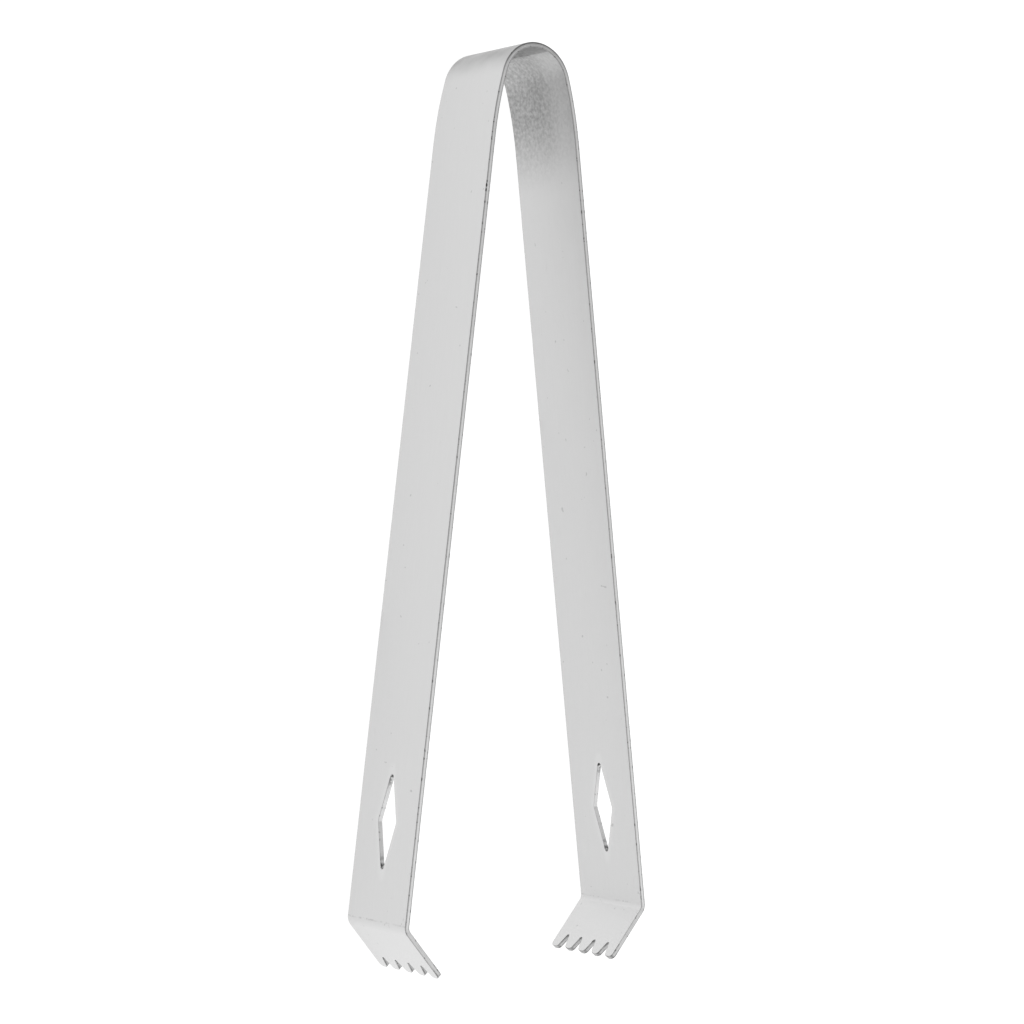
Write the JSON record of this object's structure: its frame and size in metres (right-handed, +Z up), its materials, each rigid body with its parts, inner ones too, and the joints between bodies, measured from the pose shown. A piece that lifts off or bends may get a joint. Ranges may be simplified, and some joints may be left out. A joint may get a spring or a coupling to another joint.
{
  "type": "ice tongs",
  "caption": "Small bar ice tongs: one springy stainless strip in a narrow bow, with a diamond hole in each arm and inward toothed jaws.",
  "frame": {"origin": "middle of the footprint, on the plane that the strip's lower edges rest on", "axes": "+X across the tongs, towards the right arm; +Y along them, towards the bow; +Z up, along the strip's width"},
  "size_m": [0.0582, 0.178, 0.0191],
  "materials": {
    "stainless_strip": "fine satin stainless, grainier inside the bow, sheared edges darker at their corners"
  },
  "bodies": {
    "bow": {"bow_crown": "stainless_strip"},
    "left_shoulder": {"left_shoulder": "stainless_strip"},
    "left_upper_arm": {"left_upper_arm": "stainless_strip"},
    "left_arm": {"left_lower_arm": "stainless_strip", "left_jaw": "stainless_strip"},
    "right_shoulder": {"right_shoulder": "stainless_strip"},
    "right_upper_arm": {"right_upper_arm": "stainless_strip"},
    "right_arm": {"right_lower_arm": "stainless_strip", "right_jaw": "stainless_strip"}
  },
  "joints": [
    {"name": "left_shoulder_flex", "type": "hinge", "parent": "bow", "child": "left_shoulder", "pos_m": [-0.00753, 0.08289, 0.00953], "axis": [0, 0, 1], "range_deg": [-1, 3], "stiffness_Nm_per_rad": 15.8},
    {"name": "left_upper_arm_flex", "type": "hinge", "parent": "left_shoulder", "child": "left_upper_arm", "pos_m": [-0.01018, 0.07012, 0.00953], "axis": [0, 0, 1], "range_deg": [-0.88, 2.62], "stiffness_Nm_per_rad": 10.7},
    {"name": "left_lower_arm_flex", "type": "hinge", "parent": "left_upper_arm", "child": "left_arm", "pos_m": [-0.0146, 0.0344, 0.00953], "axis": [0, 0, 1], "range_deg": [-0.62, 1.88], "stiffness_Nm_per_rad": 7.7},
    {"name": "right_shoulder_flex", "type": "hinge", "parent": "bow", "child": "right_shoulder", "pos_m": [0.00753, 0.08289, 0.00953], "axis": [0, 0, -1], "range_deg": [-1, 3], "stiffness_Nm_per_rad": 15.8},
    {"name": "right_upper_arm_flex", "type": "hinge", "parent": "right_shoulder", "child": "right_upper_arm", "pos_m": [0.01018, 0.07012, 0.00953], "axis": [0, 0, -1], "range_deg": [-0.88, 2.62], "stiffness_Nm_per_rad": 10.7},
    {"name": "right_lower_arm_flex", "type": "hinge", "parent": "right_upper_arm", "child": "right_arm", "pos_m": [0.0146, 0.0344, 0.00953], "axis": [0, 0, -1], "range_deg": [-0.62, 1.88], "stiffness_Nm_per_rad": 7.7}
  ],
  "couplings": [
    {"joint": "left_upper_arm_flex", "follows": "left_shoulder_flex", "ratio": 0.875},
    {"joint": "left_lower_arm_flex", "follows": "left_shoulder_flex", "ratio": 0.625},
    {"joint": "right_shoulder_flex", "follows": "left_shoulder_flex", "ratio": 1},
    {"joint": "right_upper_arm_flex", "follows": "left_shoulder_flex", "ratio": 0.875},
    {"joint": "right_lower_arm_flex", "follows": "left_shoulder_flex", "ratio": 0.625}
  ]
}
